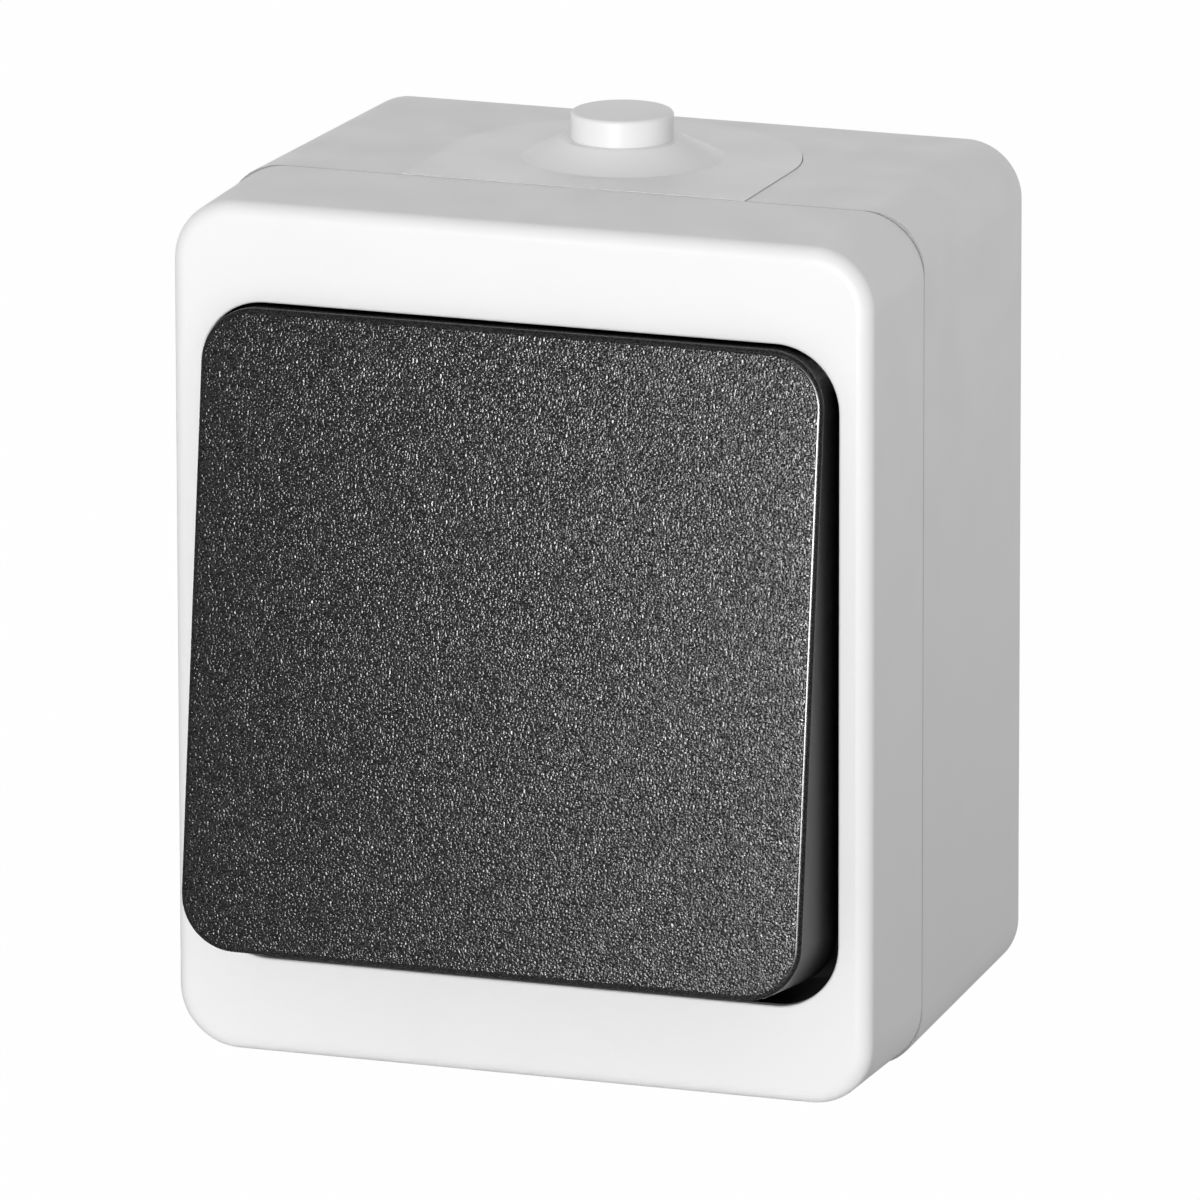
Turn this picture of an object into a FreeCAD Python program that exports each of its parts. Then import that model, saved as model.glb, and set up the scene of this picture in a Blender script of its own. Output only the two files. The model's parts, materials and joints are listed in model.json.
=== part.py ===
"""Outdoor surface-mounted rocker switch with a sealed cover and one closed cable entry.

The origin is the centre of the rear face, which lies on the wall. X runs to the right, Y into
the wall and Z up. A depth is measured backwards from the flat front of the cover. The rocker is
modelled upright on its axis and then turned to the pose with its top pressed in.
"""
import FreeCAD, Part
import math
import os

V = FreeCAD.Vector

# Window of the cover and the frame around it
WINDOW_WIDTH = 61.0
WINDOW_HEIGHT = 61.8
WINDOW_CORNER = 6.0
SIDE_MARGIN = 3.0
TOP_MARGIN = 9.1

# Housing outside
TOTAL_DEPTH = 47.5
COVER_DEPTH = 15.0
HOUSING_CORNER = 5.8
BOX_CORNER = 5.3
FRONT_EDGE = 1.4
COVER_DRAFT = 0.17
SEAM_STEP = 0.03
SEAM_GAP = 0.18
SEAM_GAP_REACH = 0.5
BOX_TAPER_SIDE = 1.15
BOX_TAPER_TOP = 0.45
REAR_EDGE = 0.4

# Housing walls and the sealed joint
FRONT_PLATE = 2.2
WINDOW_LIP = 0.8
WINDOW_EDGE = 0.25
BOX_WALL = 2.2
REAR_WALL = 2.2
GASKET_WIDTH = 0.7
GASKET_HEIGHT = 1.2
TONGUE_WALL = 1.1
TONGUE_RISE = 2.2
TONGUE_FOOT = 2.0
JOINT_CLEARANCE = 0.1

# Lining tray behind the window
TRAY_WALL = 1.1
TRAY_CLEARANCE = 0.1
TRAY_FLOOR_DEPTH = 10.0
TRAY_FLOOR = 2.0
TRAY_OPENING_HEIGHT = 18.0
TRAY_OPENING_CORNER = 3.0
CLIP_WIDTH = 6.0
CLIP_DEPTH = 2.4
CLIP_REACH = 0.9
CLIP_SPACING = 34.0
COLLAR_WALL = 1.4
COLLAR_WIDTH = 44.0
COLLAR_END = 9.0

# Cable entry on the top wall
ENTRY_RADIUS = 16.6
ENTRY_DEPTH = 28.6
ENTRY_CLEARANCE = 0.08
ENTRY_FLANGE = 1.3
ENTRY_PROUD = 0.12
CONE_RADIUS = 9.6
CONE_TOP_RADIUS = 5.6
CONE_HEIGHT = 2.0
NIPPLE_RADIUS = 4.75
NIPPLE_HEIGHT = 2.5
NIPPLE_EDGE = 0.35
NIPPLE_WALL = 1.0

# Knock-out ring for a second cable, on the bottom wall
KNOCKOUT_RADIUS = 10.0
KNOCKOUT_GROOVE = 0.8

# Fixing holes, posts and screws
WALL_HOLE_RADIUS = 2.2
WALL_HOLE_INSET_X = 13.5
WALL_HOLE_INSET_Z = 11.0
WALL_HOLE_BOSS = 5.0
WALL_HOLE_BOSS_RISE = 1.5
COVER_SCREW_INSET = 5.7
POST_RADIUS = 3.5
POST_RIB = 1.6
SCREW_RADIUS = 1.5
SCREW_HEAD_RADIUS = 2.7
SCREW_HEAD = 2.0
SCREW_HEAD_EDGE = 0.4
SCREW_GRIP = 9.0
SCREW_SLOT_WIDTH = 0.8
SCREW_SLOT_DEPTH = 0.9
SCREW_CLEARANCE = 0.06
SCREW_PASSAGE = 0.3
SCREW_TIP_ROOM = 1.0
COVER_SLOT_TURN = 30.0
MECHANISM_SLOT_TURN = 20.0
TERMINAL_SLOT_TURN = 40.0

# Rocker
ROCKER_TILT = 7.2
PIVOT_DEPTH = 6.1
ROCKER_GAP_SIDE = 0.7
ROCKER_GAP_TOP = 1.3
ROCKER_CORNER = 5.2
ROCKER_FACE_HEIGHT = 12.0
ROCKER_SKIRT = 11.0
ROCKER_WALL = 1.8
ROCKER_FACE = 2.0
ROCKER_EDGE = 0.8
RIB_WALL = 1.2
RIB_HEIGHT = 2.0
RIB_SPACING = 36.0

# Cradle under the rocker
CRADLE_WIDTH = 17.6
CRADLE_HEIGHT = 20.0
CRADLE_PLATE = 2.0
CRADLE_CORNER = 1.5
CRADLE_FRONT = 6.0
CHEEK_WALL = 1.8
CHEEK_HALF = 4.0
PIN_RADIUS = 1.5
PIN_CLEARANCE = 0.05
ARM_OFFSET = 6.5
ARM_WIDTH = 8.0
ARM_WALL = 1.6
ARM_HOOK = 0.7
ARM_CLEARANCE = 0.15
TUBE_RADIUS = 4.0
TUBE_REAR = 6.5
TUBE_BLIND = 4.0

# Plunger and its spring
PLUNGER_RADIUS = 2.5
PLUNGER_CLEARANCE = 0.08
PLUNGER_FRONT = 1.5
PLUNGER_SHOULDER = 3.6
PLUNGER_TIP = 1.2
SPIGOT_RADIUS = 1.2
SPIGOT_LENGTH = 2.0
SPRING_RADIUS = 1.85
SPRING_WIRE = 0.25
SPRING_TURNS = 5.0

# Mechanism frame and base
SEAL_THICKNESS = 1.5
SEAL_WIDTH = 2.4
SEAL_MARGIN = 0.6
FRAME_PLATE = 1.6
FRAME_OVERHANG = 1.0
FRAME_CORNER = 3.0
TUBE_ROOM = 0.5
TUBE_SWING = 1.5
OPENING_CORNER = 1.0
EAR_WALL = 2.5
EAR_GAP = 0.3
EAR_RADIUS = 4.0
EAR_ROOM = 1.4
LUG_WIDTH = 10.0
LUG_DROP = 2.6
LUG_PLATE = 2.0
LUG_SCREW = 4.5
LUG_END = 4.4
BASE_DEPTH = 15.0
POST_GAP = 3.3
BASE_HEIGHT = 34.0
BASE_CORNER = 1.5
CHAMBER_SIDE_ROOM = 1.4
CHAMBER_END_ROOM = 2.7

# Contact bridge and contacts
BRIDGE_STAND_OFF = 3.6
BRIDGE_TILT = 9.6
BRIDGE_END = 1.8
BRIDGE_WIDTH = 5.0
BRIDGE_THICKNESS = 0.8
BRIDGE_TAB_HALF = 1.5
BRIDGE_TAB_WALL = 0.6
BRIDGE_TAB_DROP = 1.4
TIP_CLEARANCE = 0.1
EDGE_CLEARANCE = 0.05
CONTACT_INSET = 1.0
CONTACT_RADIUS = 1.8
CONTACT_FOOT = 0.5
CONTACT_DOME = 0.4
CONTACT_CLEARANCE = 0.1
CONTACT_HEIGHT = 0.9

# Terminals
STRIP_THICKNESS = 1.0
STRIP_WIDTH = 5.6
FULCRUM_EDGE = 0.4
FULCRUM_SIDE_GAP = 0.3
TERMINAL_INSET_X = 4.4
TERMINAL_INSET_Z = 7.0
CAGE_WIDTH = 7.0
CAGE_HEIGHT = 8.0
CAGE_TOP = 2.0
CAGE_SIDE = 1.1
CAGE_FLOOR = 1.4
WIRE_ROOM = 2.1
POCKET_CLEARANCE = 0.25
TERMINAL_HEAD_RADIUS = 2.4
TERMINAL_HEAD = 1.6
TERMINAL_TIP = 0.4
ACCESS_RADIUS = 3.0

# Sizes that follow from the ones above
FRONT_WIDTH = WINDOW_WIDTH + 2 * SIDE_MARGIN
FRONT_HEIGHT = WINDOW_HEIGHT + 2 * TOP_MARGIN
SEAM_WIDTH = FRONT_WIDTH + 2 * COVER_DRAFT
SEAM_HEIGHT = FRONT_HEIGHT + 2 * COVER_DRAFT
BOX_WIDTH = SEAM_WIDTH - 2 * SEAM_STEP
BOX_HEIGHT = SEAM_HEIGHT - 2 * SEAM_STEP
REAR_WIDTH = BOX_WIDTH - 2 * BOX_TAPER_SIDE
REAR_HEIGHT = BOX_HEIGHT - 2 * BOX_TAPER_TOP
TRAY_WIDTH = WINDOW_WIDTH + 2 * TRAY_WALL
TRAY_HEIGHT = WINDOW_HEIGHT + 2 * TRAY_WALL
TRAY_CORNER = WINDOW_CORNER + TRAY_WALL
COVER_WALL = SIDE_MARGIN - TRAY_WALL - TRAY_CLEARANCE
CAVITY_WIDTH = FRONT_WIDTH - 2 * COVER_WALL
CAVITY_HEIGHT = FRONT_HEIGHT - 2 * COVER_WALL
CAVITY_CORNER = HOUSING_CORNER - COVER_WALL
CAVITY_END = TOTAL_DEPTH - REAR_WALL
WALL_HOLE_X = FRONT_WIDTH / 2 - WALL_HOLE_INSET_X
WALL_HOLE_Z = FRONT_HEIGHT / 2 - WALL_HOLE_INSET_Z
COVER_SCREW_X = WINDOW_WIDTH / 2 - COVER_SCREW_INSET
BASE_WIDTH = 2 * (COVER_SCREW_X - POST_RADIUS - POST_GAP)
FRAME_WIDTH = BASE_WIDTH + 2 * FRAME_OVERHANG
FRAME_HEIGHT = BASE_HEIGHT + 2 * FRAME_OVERHANG
FRAME_OPENING_WIDTH = 2 * (TUBE_RADIUS + TUBE_ROOM)
FRAME_OPENING_HEIGHT = 2 * (TUBE_RADIUS + TUBE_SWING)
MECHANISM_SCREW_Z = FRAME_HEIGHT / 2 + LUG_SCREW
TERMINAL_X = BASE_WIDTH / 2 - TERMINAL_INSET_X
TERMINAL_Z = BASE_HEIGHT / 2 - TERMINAL_INSET_Z
CONTACT_ARM = TERMINAL_Z - CONTACT_INSET
BRIDGE_LENGTH = 2 * (CONTACT_ARM + BRIDGE_END)
CHAMBER_WIDTH = BRIDGE_WIDTH + 2 * (BRIDGE_TAB_WALL + CHAMBER_SIDE_ROOM)
CHAMBER_HEIGHT = BRIDGE_LENGTH + 2 * CHAMBER_END_ROOM
TRAY_REAR = TRAY_FLOOR_DEPTH + TRAY_FLOOR
FRAME_FRONT = TRAY_REAR + SEAL_THICKNESS
FRAME_REAR = FRAME_FRONT + FRAME_PLATE
BASE_REAR = FRAME_REAR + BASE_DEPTH
LUG_FRONT = FRAME_FRONT + LUG_DROP
BRIDGE_PIVOT_DEPTH = FRAME_REAR + BRIDGE_STAND_OFF
PIVOT_Y = PIVOT_DEPTH - TOTAL_DEPTH
TIP_REACH = BRIDGE_PIVOT_DEPTH - PIVOT_DEPTH - BRIDGE_THICKNESS - TIP_CLEARANCE
EAR_INNER = CRADLE_WIDTH / 2 + EAR_GAP
EAR_OUTER = EAR_INNER + EAR_WALL
TRAY_OPENING_WIDTH = 2 * (EAR_OUTER + EAR_ROOM)
DOME_SPHERE = (CONTACT_RADIUS ** 2 + CONTACT_DOME ** 2) / (2 * CONTACT_DOME)
CLOSED_FACE = (
    BRIDGE_PIVOT_DEPTH
    + CONTACT_ARM * math.sin(math.radians(BRIDGE_TILT))
    + (CONTACT_FOOT + CONTACT_DOME - DOME_SPHERE) * math.cos(math.radians(BRIDGE_TILT))
    + DOME_SPHERE
)
STRIP_FRONT = CLOSED_FACE + CONTACT_CLEARANCE + CONTACT_HEIGHT
STRIP_REAR = STRIP_FRONT + STRIP_THICKNESS
CAGE_FRONT = STRIP_FRONT - WIRE_ROOM - CAGE_TOP
CAGE_REAR = STRIP_REAR + CAGE_FLOOR
TERMINAL_PLACES = ((TERMINAL_X, TERMINAL_Z), (TERMINAL_X, -TERMINAL_Z), (-TERMINAL_X, 0.0))


def at(depth):
    """Y of the plane that lies this far behind the cover's front."""
    return depth - TOTAL_DEPTH


def outline(width, height, radius, depth, x=0.0, z=0.0):
    """Rounded rectangle parallel to the wall, as one closed wire."""
    y = at(depth)
    half_w = width / 2
    half_h = height / 2
    inset = radius * (1 - math.sqrt(0.5))
    edges = []
    for sx, sz in ((1, 1), (-1, 1), (-1, -1), (1, -1)):
        side = V(x + sx * half_w, y, z + sz * (half_h - radius))
        middle = V(x + sx * (half_w - inset), y, z + sz * (half_h - inset))
        top = V(x + sx * (half_w - radius), y, z + sz * half_h)
        ends = (side, middle, top) if sx * sz > 0 else (top, middle, side)
        if edges:
            edges.append(Part.LineSegment(edges[-1].Vertexes[-1].Point, ends[0]).toShape())
        edges.append(Part.Arc(*ends).toShape())
    edges.append(Part.LineSegment(edges[-1].Vertexes[-1].Point, edges[0].Vertexes[0].Point).toShape())
    return Part.Wire(edges)


def slab(width, height, radius, front, back, x=0.0, z=0.0):
    """Rounded block between two depths."""
    face = Part.Face(outline(width, height, radius, front, x, z))
    return face.extrude(V(0, back - front, 0))


def block(x0, x1, z0, z1, front, back):
    """Square-edged block between two depths."""
    return Part.makeBox(x1 - x0, back - front, z1 - z0, V(x0, at(front), z0))


def rod(radius, front, back, x=0.0, z=0.0):
    """Round bar along Y between two depths."""
    return Part.makeCylinder(radius, back - front, V(x, at(front), z), V(0, 1, 0))


def shrink(size, by):
    """Width, height and corner radius of a section, drawn in by an even amount."""
    return (size[0] - 2 * by, size[1] - 2 * by, size[2] - by)


def taper(near, near_depth, far, far_depth):
    """Solid between two rounded rectangles of different size."""
    wires = [outline(*near, near_depth), outline(*far, far_depth)]
    return Part.makeLoft(wires, True, True)


def edges_at(shape, depth):
    """Edges of a shape that lie wholly in the plane at a depth."""
    y = at(depth)
    flat = []
    for edge in shape.Edges:
        box = edge.BoundBox
        if abs(box.YMin - y) < 1e-4 and abs(box.YMax - y) < 1e-4:
            flat.append(edge)
    return flat


def edges_within(shape, depth, width, height):
    """Edges in the plane at a depth that lie inside a rectangle about the centre."""
    margin = 0.01
    inside = []
    for edge in edges_at(shape, depth):
        box = edge.BoundBox
        wide = max(abs(box.XMin), abs(box.XMax)) < width / 2 + margin
        tall = max(abs(box.ZMin), abs(box.ZMax)) < height / 2 + margin
        if wide and tall:
            inside.append(edge)
    return inside


def box_form(inset, far=TOTAL_DEPTH):
    """Tapered solid of the box's outside, drawn in by the inset and cut off at a depth."""
    near = shrink((BOX_WIDTH, BOX_HEIGHT, BOX_CORNER), inset)
    rear = shrink((REAR_WIDTH, REAR_HEIGHT, BOX_CORNER), inset)
    whole = taper(near, COVER_DEPTH, rear, TOTAL_DEPTH)
    if far < TOTAL_DEPTH:
        reach = FRONT_WIDTH + FRONT_HEIGHT
        whole = whole.cut(block(-reach, reach, -reach, reach, far, TOTAL_DEPTH + REAR_WALL))
    return whole


def rocker_pose(shape):
    """Turn a piece of the rocker from upright to the pose with its top pressed in."""
    shape.rotate(V(0, PIVOT_Y, 0), V(1, 0, 0), -ROCKER_TILT)
    return shape


def bridge_pose(shape):
    """Tip a piece of the contact bridge so that its lower contact is closed."""
    shape.rotate(V(0, at(BRIDGE_PIVOT_DEPTH), 0), V(1, 0, 0), BRIDGE_TILT)
    return shape


def fore(height):
    """Depth of a plane that lies this far in front of the rocker's axis."""
    return PIVOT_DEPTH - height


def clip_blocks(half, front, back, grow):
    """Four clips on the tray's top and bottom walls, or with growth their slots in the collars."""
    blocks = []
    for sx in (1, -1):
        x = sx * CLIP_SPACING / 2
        for sz in (1, -1):
            inner = sz * (half - grow)
            outer = sz * (half + CLIP_REACH + grow)
            low = min(inner, outer)
            high = max(inner, outer)
            wide = CLIP_WIDTH / 2 + grow
            blocks.append(block(x - wide, x + wide, low, high, front - grow, back + grow))
    return blocks


def seam_groove():
    """Narrow ring that is left open around the cover's rim, so that the seam shows as a line."""
    front = COVER_DEPTH - SEAM_GAP
    seam = (SEAM_WIDTH, SEAM_HEIGHT, HOUSING_CORNER + COVER_DRAFT)
    ring = slab(*shrink(seam, -SEAM_GAP_REACH), front, COVER_DEPTH)
    return ring.cut(slab(*shrink(seam, SEAM_GAP_REACH), front, COVER_DEPTH))


def front_cover():
    """Cover frame: drafted walls, rounded front edge, window with a thin lip, clip collars."""
    front = (FRONT_WIDTH, FRONT_HEIGHT, HOUSING_CORNER)
    seam = (SEAM_WIDTH, SEAM_HEIGHT, HOUSING_CORNER + COVER_DRAFT)
    body = taper(front, 0.0, seam, COVER_DEPTH)
    body = body.makeFillet(FRONT_EDGE, edges_at(body, 0.0))
    cavity = slab(CAVITY_WIDTH, CAVITY_HEIGHT, CAVITY_CORNER, FRONT_PLATE, COVER_DEPTH)
    body = body.cut(cavity)
    grow = 2 * TRAY_CLEARANCE
    rebate = slab(TRAY_WIDTH + grow, TRAY_HEIGHT + grow, TRAY_CORNER, WINDOW_LIP, FRONT_PLATE)
    window = slab(WINDOW_WIDTH, WINDOW_HEIGHT, WINDOW_CORNER, 0.0, FRONT_PLATE)
    body = body.cut(rebate).cut(window)
    rim = edges_within(body, 0.0, WINDOW_WIDTH, WINDOW_HEIGHT)
    body = body.makeFillet(WINDOW_EDGE, rim)
    seat = slab(
        CAVITY_WIDTH + 2 * GASKET_WIDTH,
        CAVITY_HEIGHT + 2 * GASKET_WIDTH,
        CAVITY_CORNER + GASKET_WIDTH,
        COVER_DEPTH - GASKET_HEIGHT,
        COVER_DEPTH,
    )
    body = body.cut(seat).cut(seam_groove())
    inner = TRAY_HEIGHT / 2 + TRAY_CLEARANCE
    half = COLLAR_WIDTH / 2
    for sz in (1, -1):
        low = min(sz * inner, sz * (inner + COLLAR_WALL))
        body = body.fuse(block(-half, half, low, low + COLLAR_WALL, FRONT_PLATE, COLLAR_END))
    clip_back = COLLAR_END - CLIP_DEPTH / 2
    for slot in clip_blocks(TRAY_HEIGHT / 2, clip_back - CLIP_DEPTH, clip_back, TRAY_CLEARANCE):
        body = body.cut(slot)
    return body.removeSplitter()


def inner_tray():
    """Lining tray: walls flush with the window, a floor with its opening, clips and screw holes."""
    body = slab(TRAY_WIDTH, TRAY_HEIGHT, TRAY_CORNER, WINDOW_LIP, TRAY_REAR)
    well = slab(WINDOW_WIDTH, WINDOW_HEIGHT, WINDOW_CORNER, WINDOW_LIP, TRAY_FLOOR_DEPTH)
    body = body.cut(well)
    opening = slab(
        TRAY_OPENING_WIDTH, TRAY_OPENING_HEIGHT, TRAY_OPENING_CORNER, TRAY_FLOOR_DEPTH, TRAY_REAR
    )
    body = body.cut(opening)
    for sx in (1, -1):
        hole = rod(SCREW_RADIUS + SCREW_PASSAGE, TRAY_FLOOR_DEPTH, TRAY_REAR, sx * COVER_SCREW_X)
        body = body.cut(hole)
    clip_back = COLLAR_END - CLIP_DEPTH / 2
    for clip in clip_blocks(TRAY_HEIGHT / 2, clip_back - CLIP_DEPTH, clip_back, 0.0):
        body = body.fuse(clip)
    return body.removeSplitter()


def cover_gasket():
    """Square rubber ring in the cover's rim, pressed on the box's rim around the tongue."""
    outer = slab(
        CAVITY_WIDTH + 2 * GASKET_WIDTH,
        CAVITY_HEIGHT + 2 * GASKET_WIDTH,
        CAVITY_CORNER + GASKET_WIDTH,
        COVER_DEPTH - GASKET_HEIGHT,
        COVER_DEPTH,
    )
    inner = slab(CAVITY_WIDTH, CAVITY_HEIGHT, CAVITY_CORNER, COVER_DEPTH - GASKET_HEIGHT, COVER_DEPTH)
    return outer.cut(inner)


def tray_seal():
    """Rubber ring around the tray's opening, pressed between the tray and the mechanism."""
    width = TRAY_OPENING_WIDTH + 2 * SEAL_MARGIN
    height = TRAY_OPENING_HEIGHT + 2 * SEAL_MARGIN
    corner = TRAY_OPENING_CORNER + SEAL_MARGIN
    outer = slab(
        width + 2 * SEAL_WIDTH, height + 2 * SEAL_WIDTH, corner + SEAL_WIDTH, TRAY_REAR, FRAME_FRONT
    )
    return outer.cut(slab(width, height, corner, TRAY_REAR, FRAME_FRONT))


def entry_shape(grow):
    """Upright prism of the entry plate: straight sides from the seam, closed by a half circle."""
    radius = ENTRY_RADIUS + grow
    front = COVER_DEPTH - TONGUE_RISE - grow
    low = BOX_HEIGHT / 2 - ENTRY_RADIUS
    rise = BOX_HEIGHT / 2
    straight = block(-radius, radius, low, low + rise, front, ENTRY_DEPTH)
    round_end = Part.makeCylinder(radius, rise, V(0, at(ENTRY_DEPTH), low), V(0, 0, 1))
    return straight.fuse(round_end).removeSplitter()


def box_walls():
    """Open box with its tongue, before the entry is cut out of the top wall."""
    walls = box_form(0.0)
    walls = walls.makeFillet(REAR_EDGE, edges_at(walls, TOTAL_DEPTH))
    walls = walls.cut(box_form(BOX_WALL, CAVITY_END))
    outer = shrink((CAVITY_WIDTH, CAVITY_HEIGHT, CAVITY_CORNER), JOINT_CLEARANCE)
    inner = shrink(outer, TONGUE_WALL)
    ring = slab(*outer, COVER_DEPTH - TONGUE_RISE, COVER_DEPTH + TONGUE_FOOT)
    ring = ring.cut(slab(*inner, COVER_DEPTH - TONGUE_RISE, COVER_DEPTH + TONGUE_FOOT))
    return walls.fuse(ring)


def post(x, z, front):
    """Screw post on the rear wall."""
    return rod(POST_RADIUS, front, CAVITY_END, x, z)


def back_box():
    """Box: tapered walls with tongue and entry notch, posts, ribs, wall holes and knock-out ring."""
    body = box_walls().cut(entry_shape(0.0))
    for sx in (1, -1):
        x = sx * COVER_SCREW_X
        body = body.fuse(post(x, 0.0, TRAY_REAR))
        side = sx * (BOX_WIDTH / 2 - BOX_WALL / 2)
        rib_front = COVER_DEPTH + TONGUE_FOOT
        low = min(x, side)
        high = max(x, side)
        rib = block(low, high, -POST_RIB / 2, POST_RIB / 2, rib_front, CAVITY_END)
        body = body.fuse(rib.common(box_form(BOX_WALL / 2)))
        hole_end = TRAY_REAR + SCREW_GRIP + SCREW_TIP_ROOM
        body = body.cut(rod(SCREW_RADIUS + SCREW_CLEARANCE, TRAY_REAR, hole_end, x))
    for sz in (1, -1):
        z = sz * MECHANISM_SCREW_Z
        top = LUG_FRONT + LUG_PLATE
        body = body.fuse(post(0.0, z, top))
        hole_end = top + SCREW_GRIP + SCREW_TIP_ROOM
        body = body.cut(rod(SCREW_RADIUS + SCREW_CLEARANCE, top, hole_end, 0.0, z))
    for sx in (1, -1):
        for sz in (1, -1):
            x = sx * WALL_HOLE_X
            z = sz * WALL_HOLE_Z
            boss_top = CAVITY_END - WALL_HOLE_BOSS_RISE
            body = body.fuse(rod(WALL_HOLE_BOSS, boss_top, CAVITY_END, x, z))
            body = body.cut(rod(WALL_HOLE_RADIUS, boss_top, TOTAL_DEPTH, x, z))
    return body.cut(knockout_groove()).removeSplitter()


def knockout_groove():
    """Ring cut half through the bottom wall, to be broken out for a second cable."""
    deep = BOX_WALL / 2
    reach = BOX_HEIGHT / 2
    foot = V(0, at(ENTRY_DEPTH), -reach)
    down = V(0, 0, 1)
    ring = Part.makeCylinder(KNOCKOUT_RADIUS, deep, foot, down)
    return ring.cut(Part.makeCylinder(KNOCKOUT_RADIUS - KNOCKOUT_GROOVE, deep, foot, down))


def nipple():
    """Stepped hollow cone with a closed round tip, turned about the entry's axis."""
    base = BOX_HEIGHT / 2 - BOX_WALL / 2
    surface = BOX_HEIGHT / 2 - BOX_TAPER_TOP / 2
    shoulder = surface + CONE_HEIGHT
    tip = shoulder + NIPPLE_HEIGHT
    hollow = NIPPLE_RADIUS - NIPPLE_WALL
    points = [
        (CONE_RADIUS - NIPPLE_WALL, base),
        (CONE_RADIUS, base),
        (CONE_RADIUS, surface),
        (CONE_TOP_RADIUS, shoulder),
        (NIPPLE_RADIUS, shoulder),
        (NIPPLE_RADIUS, tip),
        (0.0, tip),
        (0.0, tip - NIPPLE_WALL),
        (hollow, tip - NIPPLE_WALL),
        (hollow, shoulder - NIPPLE_WALL),
        (CONE_RADIUS - NIPPLE_WALL, surface - NIPPLE_WALL),
    ]
    y = at(ENTRY_DEPTH)
    corners = [V(r, y, z) for r, z in points]
    face = Part.Face(Part.makePolygon(corners + corners[:1]))
    turned = face.revolve(V(0, y, 0), V(0, 0, 1), 360)
    rims = []
    for edge in turned.Edges:
        flat = abs(edge.BoundBox.ZMin - tip) < 1e-4 and abs(edge.BoundBox.ZMax - tip) < 1e-4
        if flat and edge.BoundBox.XMax > hollow:
            rims.append(edge)
    return turned.makeFillet(NIPPLE_EDGE, rims)


def cable_entry():
    """Entry plate: the piece of wall that fills the notch, an inner flange and the nipple."""
    plate = box_walls().common(entry_shape(-ENTRY_CLEARANCE))
    proud = box_form(-ENTRY_PROUD).cut(box_form(BOX_WALL / 2))
    plate = plate.fuse(proud.common(entry_shape(-ENTRY_CLEARANCE)))
    ledge = box_form(BOX_WALL, CAVITY_END).cut(box_form(BOX_WALL + ENTRY_FLANGE))
    behind_rim = block(
        -FRONT_WIDTH, FRONT_WIDTH, 0.0, FRONT_HEIGHT, COVER_DEPTH + TONGUE_FOOT, TOTAL_DEPTH
    )
    plate = plate.fuse(ledge.common(entry_shape(ENTRY_FLANGE)).common(behind_rim))
    foot = V(0, at(ENTRY_DEPTH), BOX_HEIGHT / 2 - ENTRY_RADIUS)
    bore = Part.makeCylinder(CONE_RADIUS - NIPPLE_WALL, 2 * ENTRY_RADIUS, foot, V(0, 0, 1))
    return plate.cut(bore).fuse(nipple()).removeSplitter()


def screw(x, z, seat, length, head_radius, head, turn):
    """Pan-head screw that enters along Y, with a slot turned by an angle."""
    body = rod(SCREW_RADIUS, seat, seat + length, x, z)
    cap = rod(head_radius, seat - head, seat, x, z)
    cap = cap.makeFillet(SCREW_HEAD_EDGE, edges_at(cap, seat - head))
    half = SCREW_SLOT_WIDTH / 2
    slot_end = seat - head + SCREW_SLOT_DEPTH
    slot = block(x - head_radius, x + head_radius, z - half, z + half, seat - head, slot_end)
    slot.rotate(V(x, 0, z), V(0, 1, 0), turn)
    return body.fuse(cap).cut(slot).removeSplitter()


def cover_screws():
    """Two screws that hold the tray and with it the cover."""
    length = TRAY_FLOOR + SCREW_GRIP
    screws = []
    for sx in (1, -1):
        x = sx * COVER_SCREW_X
        turn = sx * COVER_SLOT_TURN
        screws.append(screw(x, 0.0, TRAY_FLOOR_DEPTH, length, SCREW_HEAD_RADIUS, SCREW_HEAD, turn))
    return Part.makeCompound(screws)


def mechanism_screws():
    """Two screws that hold the mechanism on its posts."""
    length = LUG_PLATE + SCREW_GRIP
    screws = []
    for sz in (1, -1):
        z = sz * MECHANISM_SCREW_Z
        turn = sz * MECHANISM_SLOT_TURN
        screws.append(screw(0.0, z, LUG_FRONT, length, SCREW_HEAD_RADIUS, SCREW_HEAD, turn))
    return Part.makeCompound(screws)


def bearing_ear(side):
    """Ear with a round end and the hole for one of the cradle's pins."""
    low = min(side * EAR_INNER, side * EAR_OUTER)
    stem = block(low, low + EAR_WALL, -EAR_RADIUS, EAR_RADIUS, PIVOT_DEPTH, FRAME_REAR)
    head = Part.makeCylinder(EAR_RADIUS, EAR_WALL, V(low, PIVOT_Y, 0), V(1, 0, 0))
    hole = Part.makeCylinder(PIN_RADIUS + PIN_CLEARANCE, EAR_WALL, V(low, PIVOT_Y, 0), V(1, 0, 0))
    return stem.fuse(head).cut(hole)


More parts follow.
